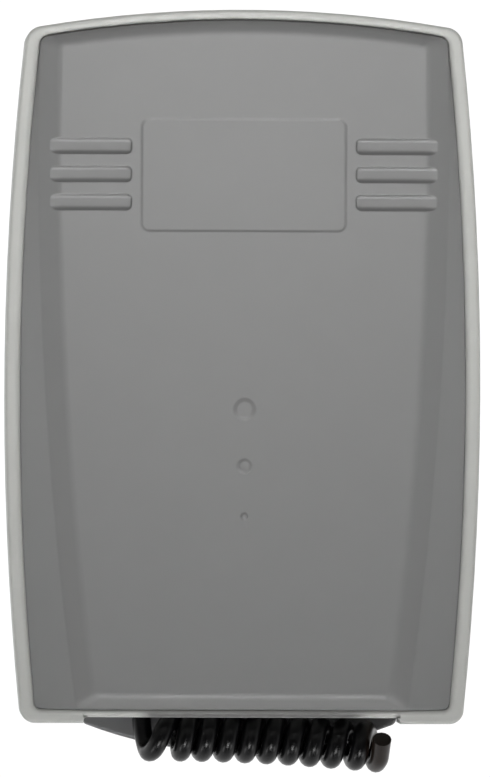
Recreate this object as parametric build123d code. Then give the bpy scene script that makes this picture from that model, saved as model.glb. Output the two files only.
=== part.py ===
from build123d import *
import math
import os

# Garage door controller, in millimetres, lying on its back.
# +Z comes out of the wall, +Y points to the controller's top, and the origin is
# the middle of the wall face.

# Case, seen from the front
case_width = 121.6
case_top = 91.4
case_foot = 91.4
widest_below = 6.4
side_arc_radius = 830.0
top_arc_radius = 312.0
top_corner = 4.5
foot_corner = 3.7
side_wall = 3.6
top_wall = 2.5
foot_wall = 3.4
rim_height = 42.6
rim_outer_round = 0.9
rim_inner_round = 1.5
case_floor = 2.0
floor_seam = 0.05
overrun = 2.0

# Notch in the lower rim, and the pocket behind it that the curly cord nests in
notch_half = 40.6
notch_depth = 1.5
notch_round = 1.8
pocket_depth = 4.5
pocket_height = 19.0
pocket_wall = 2.5
notch_corner = 1.0

# Wall plate
plate_thick = 3.0
plate_inset = 1.2
plate_round = 0.7
tongue_reach = 8.1
tongue_radius = 111.0
tongue_corner = 2.0
wall_hole_radius = 2.3
wall_hole_x = 42.0
wall_hole_top = 79.0
wall_hole_foot = 73.0

# Front cover
cover_gap = 0.12
cover_wall = 2.2
cover_skirt = 6.0
skirt_wall = 1.8
margin_drop = 0.6
margin_fall = 0.95
plateau_edge_round = 3.0
plateau_rise = 3.0
plateau_corner = 2.5
plateau_top_half = 47.2
plateau_mid_half = 45.6
plateau_foot_half = 38.0
plateau_top = 86.3
plateau_foot = 84.7
slope_top_half = 52.2
slope_mid_half = 50.9
slope_foot_half = 42.4
slope_top = 88.6
slope_foot = 88.0
rest_rib_width = 1.6
rest_rib_reach = 2.4
rest_rib_y = (58.0, 8.0, -44.0)
rest_rib_x = 30.0
cover_rib_thick = 1.6
cover_rib_depth = 4.0
cover_rib_y = (28.0, -5.0, -52.0)
slope_wall_share = 0.7

# Features on the cover's plateau
field_width = 52.8
field_height = 29.2
field_corner = 2.3
field_depth = 0.5
field_wall_angle = 50.0
field_y = 49.0
groove_width = 4.1
groove_pitch = 7.2
groove_y = 49.2
groove_inner = 28.7
groove_outer = 51.6
groove_depth = 1.35
groove_corner = 1.5
groove_floor_round = 1.2
groove_count = 3
dot_height = 0.7
dot_edge_share = 0.36
dot_x = 0.4
dot_radii = (2.95, 1.98, 0.9)
dot_y = (-10.9, -25.5, -38.3)

# Circuit board on its bosses
board_width = 96.0
board_height = 110.0
board_thick = 1.6
board_y = 14.0
board_corner = 2.0
board_hole_inset = 5.0
board_hole_radius = 1.6
boss_radius = 3.5
boss_height = 6.0
pilot_radius = 1.5
pilot_depth = 5.0

# Screws
screw_radius = 1.45
screw_length = 6.0
screw_head_radius = 2.8
screw_head_height = 2.0
screw_head_bevel = 0.5
screw_cross_length = 3.2
screw_cross_width = 0.7
screw_cross_depth = 1.1

# Mains transformer
core_width = 42.0
core_stack = 16.0
core_height = 27.0
core_leg = 7.0
core_yoke = 6.0
bobbin_reach = 6.0
bobbin_gap = 0.2
bobbin_round = 2.0
transformer_x = -20.0
transformer_y = 48.0

# Relays
relay_width = 19.0
relay_depth = 15.6
relay_height = 15.4
relay_round = 0.8
relay_x = 30.0
relay_pitch = 18.6
relay_low_y = 20.0

# Fuse in its clips
fuse_radius = 2.5
fuse_length = 20.0
fuse_cap = 4.8
fuse_cap_radius = 2.7
fuse_x = 28.0
fuse_y = -14.0
fuse_lift = 4.0
clip_wall = 0.6
clip_length = 4.0
clip_mouth = 3.4
clip_height = 6.0
clip_gap = 0.05

# Capacitors and varistor
bulk_radius = 8.0
bulk_height = 24.0
bulk_bevel = 0.8
bulk_x = 12.0
bulk_y = 56.0
small_radius = 4.0
small_height = 11.5
small_bevel = 0.5
small_x = 12.0
small_y = (38.0, 27.0)
varistor_radius = 5.5
varistor_thick = 4.0
varistor_bevel = 1.1
varistor_x = 12.0
varistor_y = -18.0
varistor_lift = 1.5
lead_radius = 0.4
lead_half_pitch = 3.5

# Terminal blocks along the board's lower edge
block_setback = 1.5
block_chamfer = 2.5
mains_ways = 5
mains_pitch = 7.0
mains_depth = 12.0
mains_height = 14.0
mains_x = 21.0
mains_entry_radius = 2.1
mains_well_radius = 2.3
control_ways = 8
control_pitch = 5.0
control_depth = 9.0
control_height = 10.0
control_x = -18.5
control_entry_radius = 1.3
control_well_radius = 1.75
entry_depth = 5.0
entry_height_share = 0.35
well_depth = 3.0
well_share = 0.6
terminal_screw_gap = 0.1
terminal_screw_height = 1.8
terminal_slot_width = 0.6
terminal_slot_depth = 0.7

# Radio receiver and its aerial
radio_length = 38.0
radio_height = 13.0
radio_thick = 1.2
radio_x = -24.0
radio_y = 22.0
can_length = 14.0
can_height = 9.0
can_thick = 2.6
can_round = 0.5
can_lift = 2.0
aerial_radius = 0.6
aerial_bend = 6.0
aerial_lift = 9.0
aerial_side = 50.5
aerial_high = 80.0
aerial_end = 6.0

# Microcontroller
chip_length = 35.0
chip_width = 7.4
chip_height = 3.4
chip_lift = 0.9
chip_x = -22.0
chip_y = 8.0
chip_pin_count = 14
pin_pitch = 2.54
pin_width = 0.5
pin_thick = 0.3
notch_radius = 1.0
notch_sink = 0.6

# Setting controls
setting_y = -13.0
key_size = 6.2
key_height = 3.4
key_round = 0.4
key_x = -39.0
plunger_radius = 1.75
plunger_fit = 0.08
plunger_well_depth = 2.0
plunger_stand = 4.2
plunger_gap = 0.35
plunger_bevel = 0.25
dip_ways = 4
dip_pitch = 2.54
dip_depth = 6.2
dip_height = 3.6
dip_x = -24.0
slot_length = 3.4
slot_width = 1.5
slot_depth = 1.6
slider_length = 1.4
slider_width = 1.3
slider_stand = 0.7
slider_end_gap = 0.35
slider_seat_gap = 0.1
trimmer_size = 6.8
trimmer_height = 3.6
trimmer_x = (-9.0, 2.0)
trimmer_well = 2.6
trimmer_well_depth = 1.6
rotor_gap = 0.06
rotor_seat_gap = 0.05
rotor_stand = 0.3
rotor_slot_width = 0.7
rotor_slot_depth = 0.9
led_radius = 1.5
led_flange = 1.9
led_flange_height = 0.9
led_height = 4.6
led_x = (-45.0, -40.0)
led_y = -24.0

# Curly cord
cord_diameter = 4.85
cord_side_count = 12
cord_x = -25.2
cord_rise = 8.0
cord_inner_end = -66.0
lead_outer_end = -90.0
curl_radius = 4.3
curl_turns = 10
curl_first_x = -23.2
curl_foot_y = -99.3
curl_pitch = 5.55
curl_first_stretch = 2.4
curl_last_stretch = 0.6
curl_droop = 2.75
curl_tilt = 2.8
curl_stretch_turn = 8
curl_end_degrees = 45.0
curl_end_straight = 7.3
curl_end_advance = 0.7
curl_end_lean_share = 0.11

# Cord entry, blank entries and cord clamp
grommet_body = 3.7
grommet_flange = 4.3
grommet_flange_thick = 0.8
grommet_gap = 0.05
blank_body = 5.0
blank_flange = 5.8
blank_flange_thick = 0.6
blank_web = 1.2
blank_x = (2.0, 26.0)
blank_z = 12.0
clamp_y = -72.0
clamp_width = 26.0
clamp_depth = 8.0
clamp_thick = 4.0
clamp_half_spread = 8.5
clamp_above = 0.4
clamp_corner = 2.0
clamp_screw_length = 8.0
clamp_pilot_depth = 4.4
saddle_width = 8.0
saddle_height = 2.2

# Cores from the cord to the control terminals
core_radius = 0.65
core_ring = 1.3
core_bend = 3.0
core_straight = 5.0
core_rise_run = 9.0
core_depth_in = 2.0

cord_radius = cord_diameter / 2
case_height = case_top + case_foot
margin_z = rim_height - margin_drop
plateau_z = margin_z + plateau_rise
margin_edge_z = margin_z - margin_fall
skirt_z = margin_z - cover_skirt
floor_z = plate_thick + case_floor
board_z = floor_z + boss_height
deck_z = board_z + board_thick
pocket_y = -case_foot + pocket_depth
board_foot = board_y - board_height / 2
terminal_face = board_foot + block_setback
control_entry_z = deck_z + control_height * entry_height_share
inner_top_corner = top_corner - side_wall / 2
inner_foot_corner = foot_corner - side_wall / 2


def block(x, y, z, width, depth, height):
    """A box that stands on z, centred on x and y."""
    box = Box(width, depth, height, align=(Align.CENTER, Align.CENTER, Align.MIN))
    return Pos(x, y, z) * box


def post(x, y, z, radius, height):
    """A cylinder that stands on z."""
    cylinder = Cylinder(radius, height, align=(Align.CENTER, Align.CENTER, Align.MIN))
    return Pos(x, y, z) * cylinder


def along_y(x, y_low, z, radius, length):
    """A cylinder along Y that starts at y_low."""
    cylinder = Cylinder(radius, length, align=(Align.CENTER, Align.CENTER, Align.MIN))
    return Pos(x, y_low, z) * Rot(-90, 0, 0) * cylinder


def along_x(x_low, y, z, radius, length):
    """A cylinder along X that starts at x_low."""
    cylinder = Cylinder(radius, length, align=(Align.CENTER, Align.CENTER, Align.MIN))
    return Pos(x_low, y, z) * Rot(0, 90, 0) * cylinder


def rounded_block(x, y, z, width, depth, height, corner):
    """A block whose upright edges are rounded."""
    return Pos(x, y, z) * extrude(RectangleRounded(width, depth, corner), height)


def case_outline(side_in, top_in, foot_in, top_radius, foot_radius):
    """The controller's outline drawn in by a wall on each side: two long side arcs,
    a flat arc at the top and a straight foot."""
    centre_x = side_arc_radius - case_width / 2
    side = Circle(side_arc_radius - side_in)
    left = Pos(centre_x, -widest_below) * side
    right = Pos(-centre_x, -widest_below) * side
    crown = Pos(0, case_top - top_arc_radius) * Circle(top_arc_radius - top_in)
    standing = (Align.CENTER, Align.MIN)
    above_foot = Pos(0, foot_in - case_foot) * Rectangle(case_width, case_height, align=standing)
    face = left & right & crown & above_foot
    face = fillet(face.vertices().sort_by(Axis.Y)[:2], foot_radius)
    return fillet(face.vertices().sort_by(Axis.Y)[-2:], top_radius)


def shield_outline(top_half, mid_half, foot_half, top_y, foot_y, corner):
    """A tapering shield: its top follows the case's top arc, its sides are arcs."""
    shoulder = top_y - top_arc_radius + math.sqrt(top_arc_radius**2 - top_half**2)
    top_left, top_right = (-top_half, shoulder), (top_half, shoulder)
    foot_left, foot_right = (-foot_half, foot_y), (foot_half, foot_y)
    middle = (shoulder + foot_y) / 2
    edges = [
        ThreePointArc(top_left, (0, top_y), top_right),
        ThreePointArc(top_right, (mid_half, middle), foot_right),
        Line(foot_right, foot_left),
        ThreePointArc(foot_left, (-mid_half, middle), top_left),
    ]
    face = make_face(edges)
    return fillet(face.vertices(), corner)


def board_holes():
    """The centres of the board's four fixing holes."""
    x = board_width / 2 - board_hole_inset
    y = board_height / 2 - board_hole_inset
    return [(sx * x, board_y + sy * y) for sx in (-1, 1) for sy in (-1, 1)]


def wall_holes():
    """The centres of the four wall screw holes."""
    return [(sx * wall_hole_x, y) for sx in (-1, 1) for y in (wall_hole_top, -wall_hole_foot)]


def clamp_holes():
    """The centres of the cord clamp's two screws."""
    return [(cord_x + side * clamp_half_spread, clamp_y) for side in (-1, 1)]


def back_plate():
    """The dark wall plate, with the tongue that reaches out below the case."""
    body = case_outline(plate_inset, plate_inset, plate_inset, top_corner, foot_corner)
    centre = Pos(0, tongue_radius - case_foot - tongue_reach)
    strip = Rectangle(2 * notch_half, case_foot, align=(Align.CENTER, Align.MIN))
    tongue = centre * Circle(tongue_radius) & Pos(0, -case_foot - tongue_reach) * strip
    tongue = fillet(tongue.vertices().sort_by(Axis.Y)[:2], tongue_corner)
    plate = extrude(body + tongue, plate_thick)
    plate = fillet(plate.faces().sort_by(Axis.Z)[-1].outer_wire().edges(), plate_round)
    for x, y in wall_holes():
        plate -= post(x, y, -overrun, wall_hole_radius, plate_thick + 2 * overrun)
    return plate


def rest_ribs():
    """Upright ribs along the inside of the walls, on which the cover's skirt rests."""
    height = skirt_z - floor_z
    outer = case_outline(side_wall, top_wall, foot_wall, inner_top_corner, inner_foot_corner)
    reach = rest_rib_reach
    inner = case_outline(
        side_wall + reach, top_wall + reach, foot_wall + reach, inner_top_corner, inner_foot_corner
    )
    bars = [Pos(0, y) * Rectangle(case_width, rest_rib_width) for y in rest_rib_y]
    for x in (-rest_rib_x, rest_rib_x):
        bars.append(Pos(x, 0) * Rectangle(rest_rib_width, case_height))
    ribs = (bars[0] + bars[1:]) & outer - inner
    return Pos(0, 0, floor_z) * extrude(ribs, height)


def clamp_pilot(x, y):
    return post(x, y, cord_rise + clamp_above - clamp_pilot_depth, pilot_radius, clamp_pilot_depth)


def notch_form():
    """What the notch cuts from the lower rim, whose lip rolls down towards the cord."""
    lip_y = notch_depth - case_foot
    width = 2 * notch_half
    height = rim_height - plate_thick + overrun
    cut = rounded_block(0, -case_foot, plate_thick, width, 2 * notch_depth, height, notch_corner)
    roll_z = rim_height - notch_round
    roll = block(0, lip_y + notch_round / 2, roll_z, width, notch_round, notch_round + overrun)
    roll -= along_x(-notch_half, lip_y + notch_round, roll_z, notch_round, width)
    return cut + roll


def case_body():
    """The light case's walls: a rounded rim, ribs and the cord pocket."""
    full = case_outline(0, 0, 0, top_corner, foot_corner)
    tub = Pos(0, 0, plate_thick) * extrude(full, rim_height - plate_thick)
    tub = fillet(tub.faces().sort_by(Axis.Z)[-1].edges(), rim_outer_round)
    inner_face = case_outline(side_wall, top_wall, foot_wall, inner_top_corner, inner_foot_corner)
    tub -= Pos(0, 0, plate_thick) * extrude(inner_face, rim_height - plate_thick)
    tub = fillet(tub.faces().sort_by(Axis.Z)[-1].inner_wires()[0].edges(), rim_inner_round)
    tub -= notch_form()
    backing_depth = pocket_depth + pocket_wall - foot_wall / 2
    backing_y = pocket_y + pocket_wall - backing_depth / 2
    tub += block(
        0,
        backing_y,
        plate_thick,
        2 * (notch_half + pocket_wall),
        backing_depth,
        pocket_height + pocket_wall,
    )
    tub += rest_ribs()
    tub -= block(0, pocket_y - case_foot / 2, plate_thick, 2 * notch_half, case_foot, pocket_height)
    hole_start = pocket_y - overrun
    hole_length = pocket_wall + 2 * overrun
    tub -= along_y(cord_x, hole_start, cord_rise, grommet_body + grommet_gap, hole_length)
    for x in blank_x:
        tub -= along_y(x, hole_start, blank_z, blank_body + grommet_gap, hole_length)
    return tub


def floor_panel():
    """The case's floor, of the same moulding: it fills the walls and stops at the pocket."""
    walls = (side_wall, top_wall, foot_wall)
    side, top, foot = (wall + floor_seam for wall in walls)
    panel = case_outline(side, top, foot, inner_top_corner, inner_foot_corner)
    floor = Pos(0, 0, plate_thick) * extrude(panel, case_floor)
    pocket_half = notch_half + pocket_wall + floor_seam
    pocket_edge = pocket_y + pocket_wall + floor_seam
    floor -= block(
        0, pocket_edge - case_foot / 2, plate_thick, 2 * pocket_half, case_foot, case_floor
    )
    for x, y in clamp_holes():
        floor -= clamp_pilot(x, y)
    for x, y in wall_holes():
        floor -= post(x, y, 0, wall_hole_radius, floor_z + overrun)
    return floor


def board_posts():
    """The four posts under the board, moulded on the case's floor, with pilot holes."""
    column = post(0, 0, floor_z, boss_radius, boss_height)
    column -= post(0, 0, board_z - pilot_depth, pilot_radius, pilot_depth)
    return Compound([Pos(x, y, 0) * column for x, y in board_holes()])


def cord_saddle():
    """The saddle under the cord and the clamp's two bosses, moulded on the case's floor."""
    saddle = block(cord_x, clamp_y, floor_z, saddle_width, clamp_depth, saddle_height)
    for x, y in clamp_holes():
        saddle += post(x, y, floor_z, boss_radius, cord_rise + clamp_above - floor_z)
    for x, y in clamp_holes():
        saddle -= clamp_pilot(x, y)
    bore = cord_radius + grommet_gap
    return saddle - along_y(cord_x, clamp_y - clamp_depth, cord_rise, bore, 2 * clamp_depth)


def slope_outline(inset):
    return shield_outline(
        slope_top_half - inset,
        slope_mid_half - inset,
        slope_foot_half - inset,
        slope_top - inset,
        inset - slope_foot,
        plateau_corner,
    )


def raised_form(inset, drop):
    """The raised middle of the cover, lofted from the slope's foot to the plateau."""
    plateau = shield_outline(
        plateau_top_half - inset,
        plateau_mid_half - inset,
        plateau_foot_half - inset,
        plateau_top - inset,
        inset - plateau_foot,
        plateau_corner,
    )
    foot = Pos(0, 0, margin_z - drop) * slope_outline(inset)
    return loft([foot, Pos(0, 0, plateau_z - drop) * plateau])


def margin_form(outer_inset, inner_inset, drop):
    """The margin round the raised middle, which falls towards the rim on every side."""
    edge = Pos(0, 0, margin_edge_z - drop) * cover_outline(outer_inset)
    return loft([edge, Pos(0, 0, margin_z - drop) * slope_outline(inner_inset)])


def cover_outline(inset):
    """The cover's outline, which follows the inside of the case's rim."""
    side, top, foot = (wall + cover_gap + inset for wall in (side_wall, top_wall, foot_wall))
    return case_outline(side, top, foot, inner_top_corner, inner_foot_corner)


def groove_form(length):
    """What one groove cuts away: a channel with a rounded floor and rounded ends in plan."""
    height = groove_depth + overrun
    section = Pos(0, height / 2) * Rectangle(groove_width, height)
    section = fillet(section.vertices().group_by(Axis.Y)[0], groove_floor_round)
    channel = extrude(Plane.YZ * section, length / 2, both=True)
    return channel & rounded_block(0, 0, 0, length, groove_width, height, groove_corner)


def front_cover():
    """The moulded front cover: a skirt, a falling margin, a raised plateau with grooves
    that run out into its side slopes, a sunken field and three raised dots."""
    standing = (Align.CENTER, Align.CENTER, Align.MIN)
    raised = raised_form(0, 0)
    raised = fillet(raised.faces().sort_by(Axis.Z)[-1].edges(), plateau_edge_round)
    skirt = cover_skirt - margin_fall
    cover = Pos(0, 0, skirt_z) * extrude(cover_outline(0), skirt)
    cover += margin_form(0, 0, 0)
    cover += raised
    side_in = cover_wall * slope_wall_share
    hollow = Pos(0, 0, skirt_z) * extrude(cover_outline(skirt_wall), skirt - cover_wall)
    hollow += margin_form(skirt_wall, side_in, cover_wall)
    hollow += raised_form(side_in, cover_wall)
    cover -= hollow
    for y in cover_rib_y:
        rib = block(
            0, y, plateau_z - cover_wall - cover_rib_depth, case_width, cover_rib_thick, cover_rib_depth
        )
        cover += rib & hollow
    field = Pos(0, field_y) * RectangleRounded(field_width, field_height, field_corner)
    cover -= Pos(0, 0, plateau_z) * extrude(field, -field_depth, taper=field_wall_angle)
    groove = groove_form(groove_outer - groove_inner)
    groove_x = (groove_outer + groove_inner) / 2
    for side in (-1, 1):
        for row in range(groove_count):
            y = groove_y + (row - (groove_count - 1) / 2) * groove_pitch
            cover -= Pos(side * groove_x, y, plateau_z - groove_depth) * groove
    for y, radius in zip(dot_y, dot_radii):
        crown_radius = radius * (1 - dot_edge_share)
        cone = Cone(radius, crown_radius, dot_height, align=standing)
        cover += Pos(dot_x, y, plateau_z) * cone
    return cover


def circuit_board():
    board = rounded_block(0, board_y, board_z, board_width, board_height, board_thick, board_corner)
    for x, y in board_holes():
        board -= post(x, y, board_z - overrun, board_hole_radius, board_thick + 2 * overrun)
    return board


def pan_screws(places, seat_z, length):
    """Cross-recessed pan-head screws whose heads sit on seat_z."""
    head = post(0, 0, 0, screw_head_radius, screw_head_height)
    head = chamfer(head.edges().group_by(Axis.Z)[-1], screw_head_bevel)
    recess_z = screw_head_height - screw_cross_depth
    arm = block(0, 0, recess_z, screw_cross_length, screw_cross_width, screw_cross_depth)
    screw = head - (arm + Rot(0, 0, 90) * arm) + post(0, 0, -length, screw_radius, length)
    return Compound([Pos(x, y, seat_z) * screw for x, y in places])


def transformer_core():
    """The laminated core: two windows leave a centre leg of double width."""
    core = block(transformer_x, transformer_y, deck_z, core_width, core_stack, core_height)
    window_height = core_height - 2 * core_yoke
    for side in (-1, 1):
        x = transformer_x + side * (core_leg + core_leg / 2)
        core -= block(x, transformer_y, deck_z + core_yoke, core_leg, core_stack, window_height)
    return core


def transformer_winding():
    """The taped coil former round the core's centre leg."""
    width = 4 * core_leg - 2 * bobbin_gap
    depth = core_stack + 2 * bobbin_reach
    height = core_height - 2 * core_yoke - bobbin_gap
    z = deck_z + core_yoke
    coil = rounded_block(transformer_x, transformer_y, z, width, depth, height, bobbin_round)
    leg_width = 2 * core_leg + 2 * bobbin_gap
    leg_depth = core_stack + 2 * bobbin_gap
    return coil - block(transformer_x, transformer_y, z, leg_width, leg_depth, height)


def relay(index):
    y = relay_low_y + index * relay_pitch
    body = block(relay_x, y, deck_z, relay_width, relay_depth, relay_height)
    return fillet(body.edges().filter_by(Axis.Z) + body.faces().sort_by(Axis.Z)[-1].edges(), relay_round)


def fuse_caps():
    """The fuse's two metal end caps."""
    z = deck_z + fuse_lift
    left = fuse_x - fuse_length / 2
    right = fuse_x + fuse_length / 2 - fuse_cap
    return Compound([along_x(x, fuse_y, z, fuse_cap_radius, fuse_cap) for x in (left, right)])


def fuse_glass():
    left = fuse_x - fuse_length / 2 + fuse_cap
    return along_x(left, fuse_y, deck_z + fuse_lift, fuse_radius, fuse_length - 2 * fuse_cap)


def fuse_clips():
    """Two open spring clips that hold the fuse's caps."""
    grip = fuse_cap_radius + clip_gap
    offset = (fuse_length - fuse_cap) / 2
    clips = []
    for side in (-1, 1):
        x = fuse_x + side * offset
        clip = block(x, fuse_y, deck_z, clip_length, 2 * (grip + clip_wall), clip_height)
        clip -= along_x(x - clip_length, fuse_y, deck_z + fuse_lift, grip, 2 * clip_length)
        clip -= block(x, fuse_y, deck_z + fuse_lift, 2 * clip_length, clip_mouth, clip_height)
        clips.append(clip)
    return Compound(clips)


def can_capacitor(x, y, radius, height, bevel):
    """A round capacitor that stands on the board."""
    can = post(x, y, deck_z, radius, height)
    return chamfer(can.edges().group_by(Axis.Z)[-1], bevel)


def varistor():
    """A lacquered disc that stands on two wire legs."""
    z = deck_z + varistor_lift + varistor_radius
    low_y = varistor_y - varistor_thick / 2
    disc = along_y(varistor_x, low_y, z, varistor_radius, varistor_thick)
    disc = chamfer(disc.edges().filter_by(GeomType.CIRCLE), varistor_bevel)
    for side in (-1, 1):
        x = varistor_x + side * lead_half_pitch
        disc += post(x, varistor_y, deck_z, lead_radius, z - deck_z)
    return disc


def way_places(x, ways, pitch):
    return [x + (way - (ways - 1) / 2) * pitch for way in range(ways)]


def terminal_block(x, ways, pitch, depth, height, entry_radius, well_radius):
    """A row of screw terminals with wire entries at the front and wells on top."""
    points = [
        (terminal_face, 0),
        (terminal_face + depth, 0),
        (terminal_face + depth, height),
        (terminal_face + block_chamfer, height),
        (terminal_face, height - block_chamfer),
    ]
    profile = Plane.YZ * make_face(Polyline(*points, close=True))
    length = ways * pitch
    body = Pos(x - length / 2, 0, deck_z) * extrude(profile, length)
    entry_z = deck_z + height * entry_height_share
    for way_x in way_places(x, ways, pitch):
        start = terminal_face - overrun
        body -= along_y(way_x, start, entry_z, entry_radius, overrun + entry_depth)
        well_y = terminal_face + depth * well_share
        body -= post(way_x, well_y, deck_z + height - well_depth, well_radius, well_depth)
    return body


def terminal_screws(x, ways, pitch, depth, height, well_radius):
    """The slotted clamping screws in a terminal block's wells."""
    radius = well_radius - terminal_screw_gap
    slot_z = terminal_screw_height - terminal_slot_depth
    screw = post(0, 0, 0, radius, terminal_screw_height)
    screw -= block(0, 0, slot_z, 2 * radius, terminal_slot_width, terminal_slot_depth)
    y = terminal_face + depth * well_share
    z = deck_z + height - well_depth
    return Compound([Pos(way_x, y, z) * screw for way_x in way_places(x, ways, pitch)])


def radio_board():
    return block(radio_x, radio_y, deck_z, radio_length, radio_thick, radio_height)


def radio_can():
    """The folded screening can on the radio board's front."""
    y = radio_y - (radio_thick + can_thick) / 2
    can = block(radio_x, y, deck_z + can_lift, can_length, can_thick, can_height)
    return fillet(can.faces().sort_by(Axis.Y)[0].edges(), can_round)


def tube(path, radius):
    """A round tube along a path."""
    return sweep(Plane(origin=path @ 0, z_dir=path % 0) * Circle(radius), path=path)


def aerial_wire():
    """The receiver's wire aerial, which runs up the side and across the top."""
    z = deck_z + aerial_lift
    start = radio_x - radio_length / 2
    points = [
        (start, radio_y, z),
        (-aerial_side, radio_y, z),
        (-aerial_side, aerial_high, z),
        (-aerial_end, aerial_high, z),
    ]
    return tube(FilletPolyline(*points, radius=aerial_bend), aerial_radius)


def microcontroller():
    body = block(chip_x, chip_y, deck_z + chip_lift, chip_length, chip_width, chip_height)
    end = chip_x - chip_length / 2
    top = deck_z + chip_lift + chip_height
    body -= post(end, chip_y, top - notch_sink, notch_radius, notch_sink)
    for x in way_places(chip_x, chip_pin_count, pin_pitch):
        for side in (-1, 1):
            y = chip_y + side * (chip_width + pin_thick) / 2
            body += block(x, y, deck_z, pin_width, pin_thick, chip_lift + chip_height / 2)
    return body


def learn_key():
    """The learn button's housing, with the well that its plunger slides in."""
    body = block(key_x, setting_y, deck_z, key_size, key_size, key_height)
    body = fillet(body.edges().filter_by(Axis.Z), key_round)
    well_z = deck_z + key_height - plunger_well_depth
    return body - post(key_x, setting_y, well_z, plunger_radius + plunger_fit, plunger_well_depth)


def learn_plunger():
    z = deck_z + key_height - plunger_well_depth + plunger_gap
    pin = post(key_x, setting_y, z, plunger_radius, plunger_stand)
    return chamfer(pin.edges().group_by(Axis.Z)[-1], plunger_bevel)


def dip_base():
    body = block(dip_x, setting_y, deck_z, (dip_ways + 1 / 2) * dip_pitch, dip_depth, dip_height)
    for x in way_places(dip_x, dip_ways, dip_pitch):
        body -= block(x, setting_y, deck_z + dip_height - slot_depth, slot_width, slot_length, slot_depth)
    return body


def dip_slider(way):
    """One slider, at rest at the lower end of its slot."""
    x = way_places(dip_x, dip_ways, dip_pitch)[way]
    y = setting_y - slot_length / 2 + slider_end_gap + slider_length / 2
    z = deck_z + dip_height - slot_depth + slider_seat_gap
    height = slot_depth - slider_seat_gap + slider_stand
    return block(x, y, z, slider_width, slider_length, height)


def trimmer_bases():
    bases = []
    for x in trimmer_x:
        base = block(x, setting_y, deck_z, trimmer_size, trimmer_size, trimmer_height)
        base = fillet(base.edges().filter_by(Axis.Z), key_round)
        well_z = deck_z + trimmer_height - trimmer_well_depth
        bases.append(base - post(x, setting_y, well_z, trimmer_well, trimmer_well_depth))
    return Compound(bases)


def trimmer_rotor(x):
    """A trimmer's rotor, with its screwdriver slot."""
    z = deck_z + trimmer_height - trimmer_well_depth + rotor_seat_gap
    height = trimmer_well_depth - rotor_seat_gap + rotor_stand
    rotor = post(x, setting_y, z, trimmer_well - rotor_gap, height)
    slot_z = z + height - rotor_slot_depth
    return rotor - block(x, setting_y, slot_z, 2 * trimmer_well, rotor_slot_width, rotor_slot_depth)


def status_leds():
    leds = []
    for x in led_x:
        led = post(x, led_y, deck_z, led_flange, led_flange_height)
        led += post(x, led_y, deck_z, led_radius, led_height - led_radius)
        led += Pos(x, led_y, deck_z + led_height - led_radius) * Sphere(led_radius)
        leds.append(led)
    return Compound(leds)


def cord_grommet():
    body = along_y(cord_x, pocket_y, cord_rise, grommet_body, pocket_wall)
    flange_y = pocket_y - grommet_flange_thick
    body += along_y(cord_x, flange_y, cord_rise, grommet_flange, grommet_flange_thick)
    bore = cord_radius + grommet_gap
    return body - along_y(cord_x, flange_y, cord_rise, bore, pocket_wall + grommet_flange_thick)


def blank_grommets():
    """Closed rubber cups in the two spare cord entries."""
    cups = []
    for x in blank_x:
        cup = along_y(x, pocket_y, blank_z, blank_body, pocket_wall)
        flange_y = pocket_y - blank_flange_thick
        cup += along_y(x, flange_y, blank_z, blank_flange, blank_flange_thick)
        cup -= along_y(x, pocket_y + blank_web, blank_z, blank_body - blank_web, pocket_wall)
        cups.append(cup)
    return Compound(cups)


def cord_clamp():
    """The bar that holds the cord's jacket down on its saddle."""
    z = cord_rise + clamp_above
    bar = rounded_block(cord_x, clamp_y, z, clamp_width, clamp_depth, clamp_thick, clamp_corner)
    bore = cord_radius + grommet_gap
    bar -= along_y(cord_x, clamp_y - clamp_depth, cord_rise, bore, 2 * clamp_depth)
    for x, y in clamp_holes():
        bar -= post(x, y, z - overrun, board_hole_radius, clamp_thick + 2 * overrun)
    return bar


def core_wire(index):
    """One of the cord's cores, from the jacket's end up to its terminal."""
    angle = math.radians(210 - 120 * index)
    start_x = cord_x + core_ring * math.cos(angle)
    start_z = cord_rise + core_ring * math.sin(angle)
    end_x = way_places(control_x, control_ways, control_pitch)[index + 1]
    bend_y = cord_inner_end + core_straight
    points = [
        (start_x, cord_inner_end, start_z),
        (start_x, bend_y, start_z),
        (end_x, bend_y + core_rise_run, control_entry_z),
        (end_x, terminal_face + core_depth_in, control_entry_z),
    ]
    return tube(FilletPolyline(*points, radius=core_bend), core_radius)


def cord_lead():
    """The cord's straight stretch, from inside the case out to the first curl."""
    length = cord_inner_end - lead_outer_end
    return along_y(cord_x, lead_outer_end, cord_rise, cord_radius, length)


def ease(value):
    """Rises smoothly from 0 to 1."""
    share = min(max(value, 0), 1)
    return share * share * (3 - 2 * share)


def curl_axis(turn):
    """The axis that the curls wind round: stretched at its ends, drooping and tilted."""
    stretch = curl_first_stretch * ease(turn) + curl_last_stretch * ease(turn - curl_stretch_turn)
    share = turn / curl_turns
    x = curl_first_x + curl_pitch * turn + stretch
    y = curl_foot_y + curl_radius - curl_droop * share**2
    return Vector(x, y, cord_rise + curl_radius - curl_tilt * share)


def curl_arm(turn):
    """The direction from the axis to the cord: the foot at a whole turn."""
    angle = 2 * math.pi * turn
    return Vector(0, -math.cos(angle), math.sin(angle))


def curl_point(turn):
    return curl_axis(turn) + curl_arm(turn) * curl_radius


def curl_direction(turn):
    step = 1 / 1000
    return (curl_point(turn + step) - curl_point(turn - step)).normalized()


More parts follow.
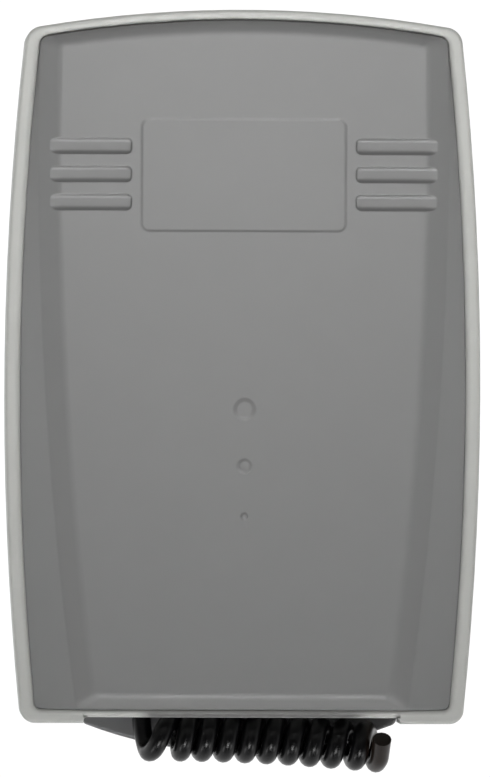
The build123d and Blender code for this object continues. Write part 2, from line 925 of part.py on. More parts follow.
def biarc(start, start_direction, end, end_direction):
    """Two arcs that leave and arrive in the given directions and meet smoothly."""
    chord = end - start
    both = start_direction + end_direction
    a = 2 * (start_direction.dot(end_direction) - 1)
    b = -2 * chord.dot(both)
    c = chord.dot(chord)
    reach = (-b - math.sqrt(b * b - 4 * a * c)) / (2 * a)
    first = start + start_direction * reach
    second = end - end_direction * reach
    middle = (first + second) / 2
    return [
        Edge.make_tangent_arc(start, start_direction, middle),
        Edge.make_tangent_arc(middle, second - first, end),
    ]


def curl_path():
    """The curly cord's centreline: straight, a helix of half-turn biarcs, straight."""
    outward = Vector(0, -1, 0)
    lead_end = Vector(cord_x, lead_outer_end, cord_rise)
    start = Vector(cord_x, curl_foot_y + curl_radius, cord_rise)
    edges = [Edge.make_line(lead_end, start)]
    point, direction = start, outward
    for half in range(2 * curl_turns + 1):
        turn = half / 2
        edges += biarc(point, direction, curl_point(turn), curl_direction(turn))
        point, direction = curl_point(turn), curl_direction(turn)
    end_angle = math.radians(curl_end_degrees)
    end_direction = Vector(curl_end_lean_share, math.sin(end_angle), math.cos(end_angle)).normalized()
    end_turn = curl_turns + curl_end_degrees / 360
    end = curl_axis(curl_turns) + curl_arm(end_turn) * curl_radius + Vector(curl_end_advance, 0, 0)
    edges += biarc(point, direction, end, end_direction)
    edges.append(Edge.make_line(end, end + end_direction * curl_end_straight))
    return Wire(edges)


def least_gap(path, diameter):
    """The least gap between stretches of a tube that lie apart along its path."""
    count = math.ceil(path.length / diameter * 8)
    points = [path @ (index / count) for index in range(count + 1)]
    apart = math.ceil(3 * diameter / path.length * count)
    gaps = []
    for index, point in enumerate(points):
        gaps += [(point - other).length - diameter for other in points[index + apart :]]
    return min(gaps)


def cord_coil(path):
    """The curly cord's tube, with a many-sided section to keep its surface light."""
    section = Plane(origin=path @ 0, z_dir=path % 0) * RegularPolygon(cord_radius, cord_side_count)
    return sweep(section, path=path, clean=False)


curls = curl_path()
coil = cord_coil(curls)
section = RegularPolygon(cord_radius, cord_side_count).area
print(f"curly cord length {curls.length:.1f} mm, least gap {least_gap(curls, cord_diameter):.2f} mm")
print(f"tube volume over section times length {coil.volume / (section * curls.length):.4f}")

control_sizes = (control_x, control_ways, control_pitch, control_depth, control_height)
mains_sizes = (mains_x, mains_ways, mains_pitch, mains_depth, mains_height)
nodes = {
    "back_plate": back_plate(),
    "case_body": case_body(),
    "case_floor": floor_panel(),
    "board_posts": board_posts(),
    "cord_saddle": cord_saddle(),
    "front_cover": front_cover(),
    "circuit_board": circuit_board(),
    "board_screws": pan_screws(board_holes(), deck_z, screw_length),
    "transformer_core": transformer_core(),
    "transformer_winding": transformer_winding(),
    "relay_open": relay(0),
    "relay_close": relay(1),
    "relay_lamp": relay(2),
    "fuse_glass": fuse_glass(),
    "fuse_caps": fuse_caps(),
    "fuse_clips": fuse_clips(),
    "capacitor_bulk": can_capacitor(bulk_x, bulk_y, bulk_radius, bulk_height, bulk_bevel),
    "capacitors_small": Compound(
        [can_capacitor(small_x, y, small_radius, small_height, small_bevel) for y in small_y]
    ),
    "varistor": varistor(),
    "mains_terminals": terminal_block(*mains_sizes, mains_entry_radius, mains_well_radius),
    "mains_terminal_screws": terminal_screws(*mains_sizes, mains_well_radius),
    "control_terminals": terminal_block(*control_sizes, control_entry_radius, control_well_radius),
    "control_terminal_screws": terminal_screws(*control_sizes, control_well_radius),
    "radio_board": radio_board(),
    "radio_can": radio_can(),
    "aerial_wire": aerial_wire(),
    "microcontroller": microcontroller(),
    "learn_key": learn_key(),
    "learn_plunger": learn_plunger(),
    "dip_base": dip_base(),
    "trimmer_bases": trimmer_bases(),
    "status_leds": status_leds(),
    "cord_grommet": cord_grommet(),
    "blank_grommets": blank_grommets(),
    "cord_clamp": cord_clamp(),
    "clamp_screws": pan_screws(clamp_holes(), cord_rise + clamp_above + clamp_thick, clamp_screw_length),
    "cord_lead": cord_lead(),
    "cord_coil": coil,
}
for way in range(dip_ways):
    nodes[f"dip_slider_{way + 1}"] = dip_slider(way)
for index, x in enumerate(trimmer_x):
    nodes[f"trimmer_rotor_{index + 1}"] = trimmer_rotor(x)
for index, colour in enumerate(("brown", "white", "green")):
    nodes[f"core_{colour}"] = core_wire(index)

os.makedirs("parts", exist_ok=True)
for name, shape in nodes.items():
    export_step(shape, f"parts/{name}.step")
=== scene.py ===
# %% [markdown]
# # A garage door controller with its curly cord
# The controller lies on its back on a white table and is seen from far above. Case, cover, wall
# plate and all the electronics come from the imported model, which is exact and stays as it is. This
# script adds what a solid model can't say: the camera, the cord as one soft line, the finish of
# every piece, the table and the light.

# %% The frame
import math

import bmesh
import bpy
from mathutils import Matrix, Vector


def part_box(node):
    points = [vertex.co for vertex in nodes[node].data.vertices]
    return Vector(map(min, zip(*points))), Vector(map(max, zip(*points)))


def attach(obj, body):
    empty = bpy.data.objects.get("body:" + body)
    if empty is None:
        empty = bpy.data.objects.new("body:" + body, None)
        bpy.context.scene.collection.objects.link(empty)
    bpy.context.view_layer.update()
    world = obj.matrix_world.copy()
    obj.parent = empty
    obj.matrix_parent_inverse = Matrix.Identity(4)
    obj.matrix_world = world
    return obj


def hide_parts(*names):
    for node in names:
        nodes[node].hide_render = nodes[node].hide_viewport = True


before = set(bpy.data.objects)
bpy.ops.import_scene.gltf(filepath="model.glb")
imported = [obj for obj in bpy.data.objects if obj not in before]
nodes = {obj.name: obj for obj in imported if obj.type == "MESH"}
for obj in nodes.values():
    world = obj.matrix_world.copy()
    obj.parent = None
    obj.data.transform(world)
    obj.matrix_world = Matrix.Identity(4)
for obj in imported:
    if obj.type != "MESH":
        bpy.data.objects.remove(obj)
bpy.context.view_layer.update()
mm = 0.001
print("nodes in the frame:", len(nodes))

# %% [markdown]
# ## The camera
# The picture shows almost no perspective: the case's sides stay hidden below its rim. A camera sees
# that from far off through a long lens, so it stands six metres away. It leans a little to the
# left, which shifts the raised face right against the case's outline, and it is turned by a fifth
# of a degree. The lens follows from how many pixels the case's width fills.

# %% The camera
photo_height = 777
case_low, case_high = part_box("case_body")
rim_z = case_high.z
case_pixels = 475.0
pixel = (case_high.x - case_low.x) / case_pixels
sensor = 36 * mm
camera_height, camera_reach = 6.0, 20.0
lean = 0.0195
roll = math.radians(0.2)
aim = Vector((0.5 * mm, -6.0 * mm, rim_z))

camera_data = bpy.data.cameras.new("camera")
camera_data.sensor_width = sensor / mm
camera_data.lens = sensor / mm * (camera_height - rim_z) / (photo_height * pixel)
camera_data.dof.use_dof = False
camera_data.clip_end = camera_reach
camera = bpy.data.objects.new("camera", camera_data)
camera.location = aim + Vector((-lean, 0, 1)) * (camera_height - rim_z)
camera.rotation_euler = (0, -math.atan(lean), roll)
bpy.context.scene.collection.objects.link(camera)
bpy.context.scene.camera = camera
print("lens in mm:", round(camera_data.lens), "and a pixel in mm:", round(pixel / mm, 3))

# %% [markdown]
# ## The curly cord
# The real cord is wound hot round a rod, so that it springs back into curls. Here ten of them hang
# just below the case, between a straight stretch from the clamp inside and a stub that ends cut
# off. A curl is a circle that moves along an axis: one formula gives every point. The axis isn't
# quite straight, because the first and the last curl are pulled open and the row droops to the
# right.

# %% The curls' axis
cord_diameter = 4.85 * mm
cord_x, cord_rise = -25.2 * mm, 8.0 * mm
curl_radius = 4.3 * mm
curl_turns = 10
curl_first_x, curl_foot_y, curl_pitch = -23.2 * mm, -99.3 * mm, 5.55 * mm
curl_first_stretch, curl_last_stretch, curl_stretch_turn = 2.4 * mm, 0.6 * mm, 8
curl_droop, curl_tilt = 2.75 * mm, 2.8 * mm
first_curl_swing = 1.7 * mm


def within_one(value):
    """The value, held between 0 and 1."""
    return min(max(value, 0), 1)


def ease(value):
    """Rises smoothly from 0 to 1 while the value does."""
    share = within_one(value)
    return share * share * (3 - 2 * share)


def curl_axis(turn):
    """Where the middle of the curls is after so many turns."""
    stretch = curl_first_stretch * ease(turn) + curl_last_stretch * ease(turn - curl_stretch_turn)
    share = max(turn, 0) / curl_turns
    swing = first_curl_swing * math.sin(math.pi * within_one(turn))
    return Vector((
        curl_first_x + curl_pitch * turn + stretch + swing,
        curl_foot_y + curl_radius - curl_droop * share**2,
        cord_rise + curl_radius - curl_tilt * share,
    ))


def curl_arm(turn):
    """The direction from the axis to the cord: towards the controller's foot first, then up."""
    angle = 2 * math.pi * turn
    return Vector((0, -math.cos(angle), math.sin(angle)))


print("curls in mm:", round((curl_axis(curl_turns).x - curl_axis(0).x) / mm, 1))

# %% [markdown]
# ## The cord's route
# The route is a list of points that pull the line towards them: four on the straight stretch, two
# dozen on each turn, and four on the stub. The last curl stops an eighth of a turn late, where the
# stub leaves it and points up at the viewer.

# %% The cord's route
points_per_turn, early_points = 24, 5
lead_places = (-66.0 * mm, -76.0 * mm, -86.9 * mm, -92.5 * mm)
curl_end_turn = curl_turns + 45 / 360
curl_end_advance = 0.7 * mm
stub_length, stub_steps = 7.3 * mm, 3
stub_direction = Vector((0.11, 1, 1)).normalized()


def cord_route():
    """The points that steer the cord: its lead, its curls and its cut stub."""
    route = [Vector((cord_x, y, cord_rise)) for y in lead_places]
    for step in range(-early_points, curl_turns * points_per_turn + 1):
        turn = step / points_per_turn
        route.append(curl_axis(turn) + curl_arm(turn) * curl_radius)
    end = curl_axis(curl_turns) + curl_arm(curl_end_turn) * curl_radius
    end += Vector((curl_end_advance, 0, 0))
    for step in range(stub_steps + 1):
        route.append(end + stub_direction * stub_length * (step / stub_steps))
    return route


route = cord_route()
print("points on the route:", len(route))

# %% [markdown]
# ## The cord as one line
# A NURBS spline runs smoothly past its points, as a springy cord does, where a line from point to
# point would look like bent wire. Its order is set after the points, or it is ignored. The radius
# is kept by the points and not by the bevel, because the curve's box then fits the tube.

# %% The cord
roundness, smooth_steps, spline_order = 6, 4, 3


def make_cord(name, route, diameter):
    """A tube along one smooth line through the route's neighbourhood."""
    data = bpy.data.curves.new(name, "CURVE")
    data.dimensions = "3D"
    data.bevel_depth = 1
    data.bevel_resolution = roundness
    data.resolution_u = smooth_steps
    data.use_fill_caps = True
    spline = data.splines.new("NURBS")
    spline.points.add(len(route) - 1)
    for point, place in zip(spline.points, route):
        point.co = (*place, 1)
        point.radius = diameter / 2
    spline.order_u = spline_order
    spline.use_endpoint_u = True
    piece = bpy.data.objects.new(name, data)
    bpy.context.scene.collection.objects.link(piece)
    return piece


cord = make_cord("curly_cord", route, cord_diameter)
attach(cord, "housing")
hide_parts("cord_lead", "cord_coil")

# %% [markdown]
# ## The case's rim
# On the real controller the rim's inner roll runs down to the cover, with hardly a gap. The model
# needs a gap there, or its cover couldn't be lifted off. So a copy of the case replaces it, in
# which the points just under the roll stand a little further in. It gets fresh normals, because
# the model's own belong to the old shape: smooth all over, and sharp where faces meet at an angle.

# %% The close seam
seam_drop, seam_reach = 1.5 * mm, 0.09 * mm
seam_slack = 0.02 * mm
merge_distance = 0.001 * mm
sharp_angle = math.radians(32)


def fitted_case():
    """The case with its seam drawn close to the cover."""
    shape = bmesh.new()
    shape.from_mesh(nodes["case_body"].data)
    bmesh.ops.remove_doubles(shape, verts=shape.verts, dist=merge_distance)
    shape.normal_update()
    moved = 0
    for vertex in shape.verts:
        side = Vector((vertex.normal.x, vertex.normal.y, 0))
        if abs(rim_z - seam_drop - vertex.co.z) < seam_slack and side.dot(vertex.co) < 0:
            vertex.co += side.normalized() * seam_reach
            moved += 1
    mesh = bpy.data.meshes.new("fitted_case")
    shape.to_mesh(mesh)
    shape.free()
    if "custom_normal" in mesh.attributes:
        mesh.attributes.remove(mesh.attributes["custom_normal"])
    mesh.shade_smooth()
    mesh.set_sharp_from_angle(angle=sharp_angle)
    piece = bpy.data.objects.new("fitted_case", mesh)
    piece.matrix_world = nodes["case_body"].matrix_world.copy()
    bpy.context.scene.collection.objects.link(piece)
    print("points moved at the seam:", moved)
    return piece


case = fitted_case()
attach(case, "housing")
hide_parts("case_body")

# %% [markdown]
# ## Building blocks for node groups
# An effect that several finishes share is built once, as a node group, and gets its own values in
# each material. The groups read the object's own coordinates, which are the frame's metres, so
# their detail has its real size on every piece. Most of what they do is sums, so one helper makes
# a Math node from numbers and sockets alike.

# %% Building blocks for node groups
per_metre = 1 / mm


def new_group(name, inputs, outputs):
    """A node group with the given sockets, and its entry and exit nodes."""
    group = bpy.data.node_groups.new(name, "ShaderNodeTree")
    for socket, kind, value in inputs:
        made = group.interface.new_socket(socket, in_out="INPUT", socket_type=kind)
        made.default_value = value
    for socket, kind in outputs:
        group.interface.new_socket(socket, in_out="OUTPUT", socket_type=kind)
    entry = group.nodes.new("NodeGroupInput")
    leave = group.nodes.new("NodeGroupOutput")
    return group, entry, leave


def work_out(tree, operation, *values):
    """One Math node, fed with numbers and sockets. Returns its result's socket."""
    node = tree.nodes.new("ShaderNodeMath")
    node.operation = operation
    for socket, value in zip(node.inputs, values):
        if isinstance(value, bpy.types.NodeSocket):
            tree.links.new(value, socket)
        else:
            socket.default_value = value
    return node.outputs[0]


def own_place(tree):
    """The point's place on the object, in metres."""
    return tree.nodes.new("ShaderNodeTexCoord").outputs["Object"]


def place_along(tree, direction):
    """How far the point lies along a direction, in metres."""
    along = tree.nodes.new("ShaderNodeVectorMath")
    along.operation = "DOT_PRODUCT"
    tree.links.new(own_place(tree), along.inputs[0])
    tree.links.new(direction, along.inputs[1])
    return along.outputs["Value"]


def noise_of_size(tree, size, detail):
    """A Noise node whose lumps are about so many millimetres wide."""
    noise = tree.nodes.new("ShaderNodeTexNoise")
    noise.inputs["Detail"].default_value = detail
    tree.links.new(own_place(tree), noise.inputs["Vector"])
    tree.links.new(work_out(tree, "DIVIDE", per_metre, size), noise.inputs["Scale"])
    return noise


# %% [markdown]
# ## Moulded grain
# A mould's walls are eroded by sparks, which leaves a fine grain on the plastic and takes away the
# gloss. Real edges aren't sharp either. Both only bend the light, so they can be made with normals
# alone: a Bevel node rounds the edges, and a Bump node lays the grain over them.

# %% Moulded grain
grain_detail, grain_roughness = 3, 0.6
grain_height = 0.05 * mm
bevel_samples = 8


def grain_group():
    """The fine spark-eroded texture of a moulded face, with its edges softened."""
    inputs = [
        ("Size", "NodeSocketFloat", 0.3),
        ("Depth", "NodeSocketFloat", 0.2),
        ("Edge", "NodeSocketFloat", 0.2 * mm),
    ]
    group, entry, leave = new_group("moulded_grain", inputs, [("Normal", "NodeSocketVector")])
    link = group.links.new
    noise = noise_of_size(group, entry.outputs["Size"], grain_detail)
    noise.inputs["Roughness"].default_value = grain_roughness
    bevel = group.nodes.new("ShaderNodeBevel")
    bevel.samples = bevel_samples
    link(entry.outputs["Edge"], bevel.inputs["Radius"])
    bump = group.nodes.new("ShaderNodeBump")
    bump.inputs["Distance"].default_value = grain_height
    link(entry.outputs["Depth"], bump.inputs["Strength"])
    link(noise.outputs[0], bump.inputs["Height"])
    link(bevel.outputs["Normal"], bump.inputs["Normal"])
    link(bump.outputs["Normal"], leave.inputs["Normal"])
    return group


grain = grain_group()
print(grain.name, "has", len(grain.nodes), "nodes")

# %% [markdown]
# ## Colour drift
# No moulding, lacquer or metal has the same shade all over. A large soft noise makes the colour a
# little stronger here and weaker there, by an amount that each finish sets for itself.

# %% Colour drift
drift_detail = 2


def drift_group():
    """Slow changes of a colour's strength, as a moulding or a board has."""
    inputs = [
        ("Colour", "NodeSocketColor", (0.5, 0.5, 0.5, 1)),
        ("Amount", "NodeSocketFloat", 0.05),
        ("Size", "NodeSocketFloat", 12.0),
    ]
    group, entry, leave = new_group("colour_drift", inputs, [("Colour", "NodeSocketColor")])
    link = group.links.new
    noise = noise_of_size(group, entry.outputs["Size"], drift_detail)
    centred = work_out(group, "SUBTRACT", noise.outputs[0], 0.5)
    strength = work_out(group, "MULTIPLY_ADD", centred, entry.outputs["Amount"], 1)
    tint = group.nodes.new("ShaderNodeVectorMath")
    tint.operation = "SCALE"
    link(entry.outputs["Colour"], tint.inputs[0])
    link(strength, tint.inputs["Scale"])
    link(tint.outputs[0], leave.inputs["Colour"])
    return group


drift = drift_group()
print(drift.name, "has", len(drift.nodes), "nodes")

# %% [markdown]
# ## Fine lines
# Laminations, the edges of wound tape and the joints between terminals are all thin lines at even
# steps. Only their direction, step and thickness differ, so one group gives the mask for all of
# them: what is left after whole steps is compared with the line's share of a step.

# %% Fine lines


def lines_group():
    """A mask of thin lines across the direction given, one every pitch."""
    inputs = [
        ("Direction", "NodeSocketVector", (0, 0, 1)),
        ("Pitch", "NodeSocketFloat", 1.0),
        ("Share", "NodeSocketFloat", 0.2),
    ]
    group, entry, leave = new_group("fine_lines", inputs, [("Mask", "NodeSocketFloat")])
    along = place_along(group, entry.outputs["Direction"])
    step = work_out(group, "MULTIPLY", mm, entry.outputs["Pitch"])
    rest = work_out(group, "FRACT", work_out(group, "DIVIDE", along, step))
    mask = work_out(group, "LESS_THAN", rest, entry.outputs["Share"])
    group.links.new(mask, leave.inputs["Mask"])
    return group


lines = lines_group()
print(lines.name, "has", len(lines.nodes), "nodes")

# %% [markdown]
# ## Board tracks
# A circuit board's copper runs in square-cornered tracks that show through the green lacquer, and
# ends in tinned pads. Square Voronoi cells cut into rings look like such tracks from a step away,
# with no need to lay out a circuit. Small round Voronoi dots on the pads' usual pitch are the pads.

# %% Board tracks
track_share = 0.45
pad_pitch, pad_share, pad_scatter = 5.08 * mm, 0.13, 0.8


def tracks_group():
    """Two masks for a circuit board: its copper tracks under the lacquer and its bare pads."""
    inputs = [("Size", "NodeSocketFloat", 9.0), ("Tracks", "NodeSocketFloat", 4.0)]
    outputs = [("Track", "NodeSocketFloat"), ("Pad", "NodeSocketFloat")]
    group, entry, leave = new_group("board_tracks", inputs, outputs)
    link = group.links.new
    cells = group.nodes.new("ShaderNodeTexVoronoi")
    cells.distance = "CHEBYCHEV"
    link(own_place(group), cells.inputs["Vector"])
    link(work_out(group, "DIVIDE", per_metre, entry.outputs["Size"]), cells.inputs["Scale"])
    rings = work_out(group, "MULTIPLY", cells.outputs["Distance"], entry.outputs["Tracks"])
    rest = work_out(group, "FRACT", rings)
    link(work_out(group, "LESS_THAN", rest, track_share), leave.inputs["Track"])
    pads = group.nodes.new("ShaderNodeTexVoronoi")
    pads.inputs["Randomness"].default_value = pad_scatter
    pads.inputs["Scale"].default_value = 1 / pad_pitch
    link(own_place(group), pads.inputs["Vector"])
    link(work_out(group, "LESS_THAN", pads.outputs["Distance"], pad_share), leave.inputs["Pad"])
    return group


tracks = tracks_group()
print(tracks.name, "has", len(tracks.nodes), "nodes")

# %% [markdown]
# ## A soft patch
# Some places differ from the rest of their piece, such as a browner cut end, and one place gets a
# painted shade. A mask that rises softly between two places along one direction marks a side of the
# piece, and a few of them multiplied mark a patch.

# %% A soft patch


def rise_group():
    """A soft mask that rises between two places along one direction."""
    inputs = [
        ("Direction", "NodeSocketVector", (1, 0, 0)),
        ("From", "NodeSocketFloat", 0.0),
        ("To", "NodeSocketFloat", 1.0),
    ]
    group, entry, leave = new_group("rise_along", inputs, [("Mask", "NodeSocketFloat")])
    link = group.links.new
    share = group.nodes.new("ShaderNodeMapRange")
    share.interpolation_type = "SMOOTHSTEP"
    link(place_along(group, entry.outputs["Direction"]), share.inputs["Value"])
    link(entry.outputs["From"], share.inputs["From Min"])
    link(entry.outputs["To"], share.inputs["From Max"])
    link(share.outputs["Result"], leave.inputs["Mask"])
    return group


rise = rise_group()
print(rise.name, "has", len(rise.nodes), "nodes")

# %% [markdown]
# ## The finishes
# Case, cover and plate are moulded plastic in three greys, the cord's jacket is black and a little
# glossy, and behind the cover there are lacquer, steel, tin, brass, glass and more plastics. Each
# row is a material of the record: its colour, how rough and how metallic it is, the size and depth
# of its grain in millimetres and as a share, and how much its colour drifts.

# %% The finishes
finishes = {
    "case_plastic": ((0.428, 0.431, 0.411), 0.42, 0, 0.35, 0.25, 0.04),
    "cover_plastic": ((0.184, 0.184, 0.183), 0.42, 0, 0.30, 0.30, 0.05),
    "plate_plastic": ((0.15, 0.15, 0.152), 0.5, 0, 0.35, 0.30, 0.15),
    "cord_jacket": ((0.004, 0.004, 0.0045), 0.28, 0, 0.50, 0.20, 0.25),
    "grommet_rubber": ((0.022, 0.022, 0.022), 0.6, 0, 0.40, 0.30, 0.2),
    "clamp_plastic": ((0.10, 0.10, 0.10), 0.5, 0, 0.35, 0.25, 0.1),
    "board_laminate": ((0.02, 0.15, 0.06), 0.35, 0, 0.80, 0.20, 0.3),
    "screw_steel": ((0.55, 0.55, 0.56), 0.3, 1, 0.20, 0.15, 0.1),
    "core_steel": ((0.22, 0.21, 0.20), 0.45, 1, 0.35, 0.30, 0.3),
    "winding_tape": ((0.60, 0.44, 0.08), 0.35, 0, 0.80, 0.20, 0.15),
    "relay_case": ((0.018, 0.018, 0.02), 0.4, 0, 0.30, 0.30, 0.2),
    "fuse_cap": ((0.72, 0.72, 0.73), 0.22, 1, 0.20, 0.10, 0.05),
    "fuse_tube": ((0.92, 0.95, 0.94), 0.06, 0, 0.80, 0.05, 0.02),
    "clip_brass": ((0.72, 0.55, 0.26), 0.3, 1, 0.20, 0.15, 0.15),
    "capacitor_sleeve": ((0.018, 0.026, 0.09), 0.3, 0, 0.60, 0.15, 0.2),
    "varistor_lacquer": ((0.02, 0.10, 0.40), 0.35, 0, 0.70, 0.35, 0.2),
    "mains_block": ((0.09, 0.09, 0.10), 0.5, 0, 0.30, 0.25, 0.1),
    "control_block": ((0.04, 0.28, 0.11), 0.5, 0, 0.30, 0.25, 0.1),
    "radio_laminate": ((0.015, 0.09, 0.25), 0.35, 0, 0.80, 0.20, 0.3),
    "can_tin": ((0.66, 0.66, 0.66), 0.28, 1, 0.50, 0.15, 0.1),
    "aerial_jacket": ((0.50, 0.50, 0.51), 0.4, 0, 0.40, 0.15, 0.1),
    "chip_epoxy": ((0.02, 0.02, 0.022), 0.55, 0, 0.20, 0.35, 0.2),
    "key_plastic": ((0.035, 0.035, 0.04), 0.4, 0, 0.25, 0.20, 0.1),
    "plunger_plastic": ((0.60, 0.05, 0.03), 0.4, 0, 0.25, 0.15, 0.1),
    "dip_plastic": ((0.45, 0.02, 0.02), 0.45, 0, 0.25, 0.20, 0.1),
    "slider_plastic": ((0.80, 0.80, 0.78), 0.4, 0, 0.25, 0.15, 0.05),
    "trimmer_plastic": ((0.04, 0.12, 0.45), 0.45, 0, 0.25, 0.20, 0.1),
    "rotor_plastic": ((0.80, 0.77, 0.70), 0.4, 0, 0.25, 0.15, 0.05),
    "led_lens": ((0.50, 0.04, 0.03), 0.15, 0, 0.60, 0.05, 0.05),
    "core_brown": ((0.16, 0.07, 0.03), 0.4, 0, 0.40, 0.15, 0.1),
    "core_white": ((0.78, 0.78, 0.76), 0.4, 0, 0.40, 0.15, 0.05),
    "core_green": ((0.04, 0.28, 0.08), 0.4, 0, 0.40, 0.15, 0.1),
}
print("finishes:", len(finishes))

# %% [markdown]
# ## From a row to a material
# Every finish is a Principled surface with the same two groups before it, so one function makes
# them all. The two large mouldings have softer edges than the small pieces, as mouldings do. The
# cord's jacket reflects less than other plastics, and the fuse's tube lets light through.

# %% From a row to a material
soft_edge = 0.2 * mm
wide_edges = {"cover_plastic": 0.6 * mm, "case_plastic": 0.4 * mm}
jacket_reflection = 0.27
glass_share = 1


def add_group(tree, group, **values):
    """Places a node group in a material and sets its inputs by name."""
    node = tree.nodes.new("ShaderNodeGroup")
    node.node_tree = group
    for name, value in values.items():
        node.inputs[name].default_value = value
    return node


def make_finish(name, colour, roughness, metallic, grain_size, grain_depth, drift_amount):
    """One finish of the table as a material."""
    material = bpy.data.materials.new("finish_" + name)
    material.use_nodes = True
    tree = material.node_tree
    surface = tree.nodes["Principled BSDF"]
    surface.inputs["Roughness"].default_value = roughness
    surface.inputs["Metallic"].default_value = metallic
    edge = wide_edges.get(name, soft_edge)
    texture = add_group(tree, grain, Size=grain_size, Depth=grain_depth, Edge=edge)
    tree.links.new(texture.outputs["Normal"], surface.inputs["Normal"])
    tone = add_group(tree, drift, Colour=(*colour, 1), Amount=drift_amount)
    tree.links.new(tone.outputs["Colour"], surface.inputs["Base Color"])
    return material


def surface_of(name):
    """The Principled surface of a finish."""
    return materials[name].node_tree.nodes["Principled BSDF"]


materials = {name: make_finish(name, *values) for name, values in finishes.items()}
surface_of("cord_jacket").inputs["Specular IOR Level"].default_value = jacket_reflection
surface_of("fuse_tube").inputs["Transmission Weight"].default_value = glass_share
print("materials made:", len(materials))

# %% [markdown]
# ## Dressing the pieces
# The model's nodes carry the record's materials by name, so each slot gets the finish of that
# name. The two pieces made here get theirs by hand.

# %% Dressing the pieces
dressed = 0
for node in nodes.values():
    for place in node.material_slots:
        place.material = materials[place.material.name.split(".")[0]]
        dressed += 1
cord.data.materials.append(materials["cord_jacket"])
case.data.materials.append(materials["case_plastic"])
print("material slots dressed:", dressed)

# %% [markdown]
# ## Second colours
# Lines, tracks, pads and patches all lay a second colour over a finish where their mask is white.
# A Mix node does that between the finish's colour and its surface. Mix nodes have a set of sockets
# for each kind of value, so the ones for colours are picked by their number.

# %% Second colours
mix_colour_sockets, mix_result_socket = (0, 6, 7), 2
tin_colour = (0.62, 0.62, 0.60)


def lay_over(name, mask, colour):
    """Lays a second colour over a finish where the mask is white."""
    tree = materials[name].node_tree
    target = surface_of(name).inputs["Base Color"]
    mix = tree.nodes.new("ShaderNodeMix")
    mix.data_type = "RGBA"
    factor, under, over = (mix.inputs[place] for place in mix_colour_sockets)
    tree.links.new(mask, factor)
    tree.links.new(target.links[0].from_socket, under)
    over.default_value = (*colour, 1)
    tree.links.new(mix.outputs[mix_result_socket], target)


def add_lines(name, direction, pitch, share, colour):
    """Thin lines across one direction, such as laminations or the edges of wound tape."""
    tree = materials[name].node_tree
    texture = add_group(tree, lines, Direction=direction, Pitch=pitch, Share=share)
    lay_over(name, texture.outputs["Mask"], colour)


def add_tracks(name, size, track_colour):
    """Copper tracks that show through the lacquer, and tinned pads."""
    texture = add_group(materials[name].node_tree, tracks, Size=size)
    lay_over(name, texture.outputs["Track"], track_colour)
    lay_over(name, texture.outputs["Pad"], tin_colour)


def add_patch(name, limits, strength, colour):
    """A soft patch of a second colour, inside every limit: a direction and where it rises."""
    tree = materials[name].node_tree
    mask = strength
    for direction, low, high in limits:
        side = add_group(tree, rise, Direction=direction, From=low, To=high)
        mask = work_out(tree, "MULTIPLY", mask, side.outputs["Mask"])
    lay_over(name, mask, colour)


# %% [markdown]
# ## The cord's stub and the rim behind the coil
# Two places on the outside differ from the rest. The cut stub is a little browner than the curls.
# The lip of the rim just behind the curls gets a painted shade: it faces nothing but black curls,
# and the lamps alone didn't make it as dark as that, so a dark grey stands in for its shade in the
# plastic's colour there.

# %% The stub and the lip
stub_brown = (0.013, 0.008, 0.0055)
# The lip's dark grey is painted shade, standing in for the shade of the black curls in front of it.
lip_painted_shade = (0.05, 0.05, 0.05)
lip_shade_strength = 0.85
stub_limits = [((1, 0, 0), 32.0 * mm, 33.0 * mm)]
lip_shade_limits = [
    ((1, 0, 0), -28 * mm, -22 * mm),
    ((-1, 0, 0), -36 * mm, -27 * mm),
    ((0, -1, 0), 87.5 * mm, 89.4 * mm),
    ((0, 0, 1), 38.5 * mm, 41.5 * mm),
]
add_patch("cord_jacket", stub_limits, 1, stub_brown)
# Painted shade on the rim's lip behind the curls.
add_patch("case_plastic", lip_shade_limits, lip_shade_strength, lip_painted_shade)
print("patches: the cord's stub and the rim's lip")

# %% [markdown]
# ## The electronics' detail
# The boards get tracks whose cells are 11 and 6 mm wide. The transformer's core is a stack of half
# millimetre sheets, its winding is wrapped in tape, capacitors have a pale stripe down one side,
# terminal blocks are joined from single ones, and the screws' heads are brushed.

# %% The electronics' detail
add_tracks("board_laminate", 11.0, (0.05, 0.26, 0.11))
add_tracks("radio_laminate", 6.0, (0.03, 0.16, 0.38))
line_details = [
    ("core_steel", (0, 1, 0), 0.5, 0.3, (0.09, 0.085, 0.08)),
    ("winding_tape", (0, 0, 1), 3.0, 0.06, (0.35, 0.24, 0.04)),
    ("capacitor_sleeve", (1, 0.35, 0), 16.0, 0.2, (0.55, 0.56, 0.58)),
    ("mains_block", (1, 0, 0), 7.0, 0.06, (0.03, 0.03, 0.03)),
    ("control_block", (1, 0, 0), 5.0, 0.06, (0.015, 0.12, 0.05)),
    ("screw_steel", (0.6, 0.8, 0), 0.12, 0.4, (0.42, 0.42, 0.43)),
    ("can_tin", (0, 0, 1), 2.0, 0.05, (0.40, 0.40, 0.40)),
]
for detail in line_details:
    add_lines(*detail)
print("finishes with lines:", len(line_details))

# %% [markdown]
# ## The table
# The controller lies on a plain table. One large square is enough for it. It lies a hair below the
# controller, so that the two faces don't fight for the same place.

# %% The table
table_half, table_drop = 3.0, 0.2 * mm
table_mesh = bpy.data.meshes.new("table")
corners = [(-1, -1, 0), (1, -1, 0), (1, 1, 0), (-1, 1, 0)]
table_mesh.from_pydata([Vector(corner) * table_half for corner in corners], [], [(0, 1, 2, 3)])
table = bpy.data.objects.new("table", table_mesh)
table.location.z = -table_drop
bpy.context.scene.collection.objects.link(table)
print("table in m:", 2 * table_half)

# %% [markdown]
# ## The table's white
# The picture shows the table as pure white. More light would give that too, but would wash out the
# object. So the table glows white only to the camera and in reflections, while for the light
# itself it is pale paper, which keeps the object's soft shadow and throws some light back at it.

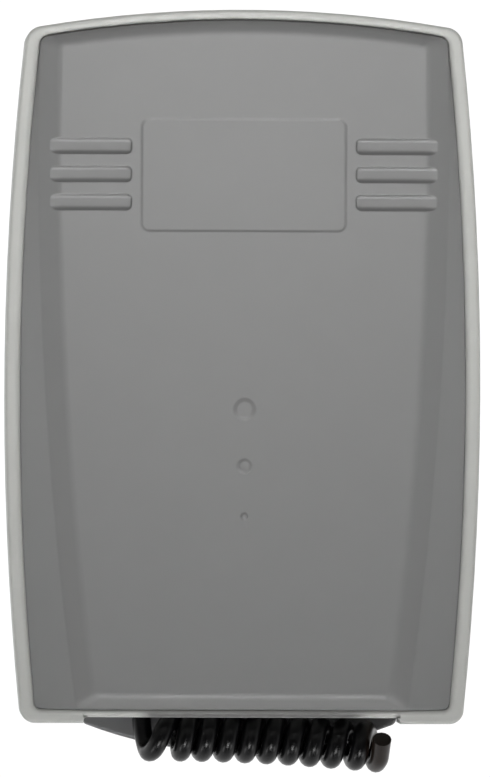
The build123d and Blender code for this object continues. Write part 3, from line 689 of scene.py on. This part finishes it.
# %% The table's white
paper_colour, glow_strength = (0.85, 0.85, 0.85, 1), 1.05
white = bpy.data.materials.new("white_table")
white.use_nodes = True
tree = white.node_tree
tree.nodes.clear()
leave = tree.nodes.new("ShaderNodeOutputMaterial")
choose = tree.nodes.new("ShaderNodeMixShader")
seen = tree.nodes.new("ShaderNodeLightPath")
paper = tree.nodes.new("ShaderNodeBsdfDiffuse")
paper.inputs["Color"].default_value = paper_colour
glow = tree.nodes.new("ShaderNodeEmission")
glow.inputs["Strength"].default_value = glow_strength
shown = work_out(tree, "MAXIMUM", seen.outputs["Is Camera Ray"], seen.outputs["Is Glossy Ray"])
shown = work_out(tree, "MAXIMUM", shown, seen.outputs["Is Transmission Ray"])
tree.links.new(shown, choose.inputs[0])
tree.links.new(paper.outputs[0], choose.inputs[1])
tree.links.new(glow.outputs[0], choose.inputs[2])
tree.links.new(choose.outputs[0], leave.inputs["Surface"])
table_mesh.materials.append(white)
print("table's glow:", glow_strength)

# %% [markdown]
# ## The lamps
# The face is brightest at its upper end, so a small soft key light hangs just above that end. The
# grooves' upper edges and the dots' lower edges catch light, and the edges across from them are
# dark, so a narrower light comes from the foot's side. A large lamp beyond the upper end fills the
# slopes on that side, and two low ones graze both long sides. All of them stay weak, so that a
# colour renders about as it is written.

# %% The lamps
wide, narrow = 180, 30
low_x, low_y, low_z = 0.36, -0.48, 0.26
lamps = [
    # name, place, aim, width, height, watts, spread in degrees
    ("key", (0, 0.13, 0.40), (0, 0.09, 0), 0.20, 0.16, 0.54, wide),
    ("front", (0, -0.50, 0.70), (0, 0.16, 0), 0.30, 0.30, 0.25, narrow),
    ("overhead", (0, 0.60, 1.25), (0, 0, 0), 0.6, 0.4, 1.7, wide),
    ("low_left", (-low_x, low_y, low_z), (0, -0.08, 0.02), 0.14, 0.26, 0.42, wide),
    ("low_right", (low_x, low_y, low_z), (0, -0.08, 0.02), 0.14, 0.26, 0.42, wide),
]


def area_light(name, place, target, width, height, watts, spread):
    """A rectangular lamp that looks at its target."""
    data = bpy.data.lights.new(name, "AREA")
    data.shape = "RECTANGLE"
    data.size, data.size_y = width, height
    data.energy = watts
    data.spread = math.radians(spread)
    light = bpy.data.objects.new(name, data)
    light.location = place
    light.rotation_mode = "QUATERNION"
    light.rotation_quaternion = (Vector(target) - Vector(place)).to_track_quat("-Z", "Y")
    bpy.context.scene.collection.objects.link(light)


for lamp in lamps:
    area_light(*lamp)
print("lamps:", len(lamps))

# %% [markdown]
# ## The room
# Round the table there is a pale room. Its walls light the rim's sides and give the black cord its
# shine, and its ceiling is dark, because a bright one would lie as a haze over the whole face. The
# strength falls from the table's level up to a height of the sky's dome.

# %% The room
room_zenith, room_horizon = 0.05, 0.95
wall_top = 0.6
room_white = (1, 1, 1, 1)
world = bpy.data.worlds.new("room")
world.use_nodes = True
room_tree = world.node_tree
room = room_tree.nodes["Background"]
room.inputs["Color"].default_value = room_white
sight = room_tree.nodes.new("ShaderNodeTexCoord")
parts = room_tree.nodes.new("ShaderNodeSeparateXYZ")
wall_share = room_tree.nodes.new("ShaderNodeMapRange")
wall_share.inputs["From Min"].default_value = 0
wall_share.inputs["From Max"].default_value = wall_top
wall_share.inputs["To Min"].default_value = room_horizon
wall_share.inputs["To Max"].default_value = room_zenith
room_tree.links.new(sight.outputs["Generated"], parts.inputs[0])
room_tree.links.new(parts.outputs["Z"], wall_share.inputs["Value"])
room_tree.links.new(wall_share.outputs["Result"], room.inputs["Strength"])
bpy.context.scene.world = world
bpy.context.scene.view_settings.view_transform = "Standard"
print("room's strength:", room_horizon, "at the table and", room_zenith, "above")
